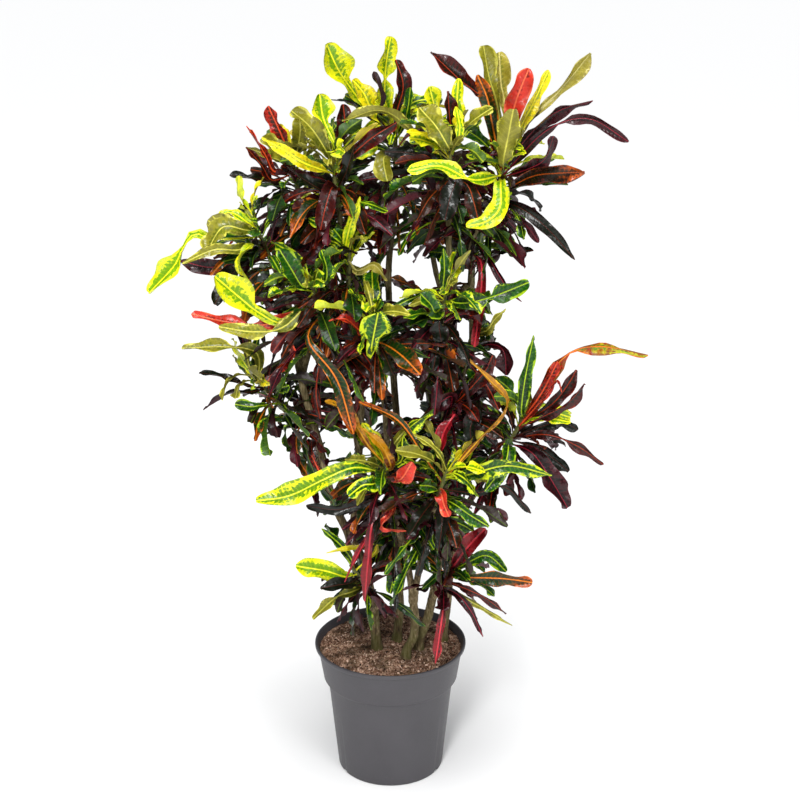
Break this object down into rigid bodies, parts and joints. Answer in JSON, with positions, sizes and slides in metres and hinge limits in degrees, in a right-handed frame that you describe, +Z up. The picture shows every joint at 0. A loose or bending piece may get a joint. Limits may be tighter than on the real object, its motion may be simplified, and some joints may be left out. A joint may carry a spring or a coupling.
{
  "type": "potted croton",
  "caption": "Bushy croton with long, twisted yellow, green and burgundy leaves on slender woody stems, standing in a round nursery pot of soil.",
  "frame": {"origin": "middle of the pot's underside", "axes": "+Z up along the pot's axis; the front of the plant faces -Y"},
  "size_m": [0.798, 0.5385, 1.298],
  "materials": {
    "pot_plastic": "matte",
    "potting_soil": "matte",
    "bark": "matte",
    "old_leaves": "satin",
    "young_leaves": "satin"
  },
  "bodies": {
    "root": {"pot": "pot_plastic", "soil": "potting_soil", "stem_left": "bark", "stem_middle": "bark", "stem_front": "bark", "stem_right": "bark", "stem_outer": "bark", "leaves_top_left_old": "old_leaves", "leaves_top_left_young": "young_leaves", "leaves_top_outer_left_old": "old_leaves", "leaves_top_outer_left_young": "young_leaves", "leaves_top_middle_old": "old_leaves", "leaves_top_middle_young": "young_leaves", "leaves_top_front_old": "old_leaves", "leaves_top_front_young": "young_leaves", "leaves_top_right_old": "old_leaves", "leaves_top_right_young": "young_leaves", "leaves_shoulder_left_old": "old_leaves", "leaves_shoulder_left_young": "young_leaves", "leaves_mid_left_old": "old_leaves", "leaves_mid_left_young": "young_leaves", "leaves_side_left_old": "old_leaves", "leaves_side_left_young": "young_leaves", "leaves_inner_left": "old_leaves", "leaves_inner_front_old": "old_leaves", "leaves_inner_front_young": "young_leaves", "leaves_mid_front_old": "old_leaves", "leaves_mid_front_young": "young_leaves", "leaves_mid_right_old": "old_leaves", "leaves_mid_right_young": "young_leaves", "leaves_inner_top": "old_leaves", "leaves_inner_right": "old_leaves", "leaves_mid_low": "old_leaves", "leaves_side_right_old": "old_leaves", "leaves_side_right_young": "young_leaves", "leaves_low_right_old": "old_leaves", "leaves_low_right_young": "young_leaves", "leaves_low_left_old": "old_leaves", "leaves_low_left_young": "young_leaves", "leaves_foot_left_old": "old_leaves", "leaves_foot_left_young": "young_leaves", "leaves_foot_middle": "old_leaves", "leaves_foot_right": "old_leaves", "leaves_back_top_left_old": "old_leaves", "leaves_back_top_left_young": "young_leaves", "leaves_back_top_middle_old": "old_leaves", "leaves_back_top_middle_young": "young_leaves", "leaves_back_right_old": "old_leaves", "leaves_back_right_young": "young_leaves", "leaves_back_middle": "old_leaves", "leaves_back_left": "old_leaves", "leaves_back_low_right": "old_leaves", "leaves_back_low_left": "old_leaves", "leaves_back_foot": "old_leaves"}
  },
  "joints": []
}
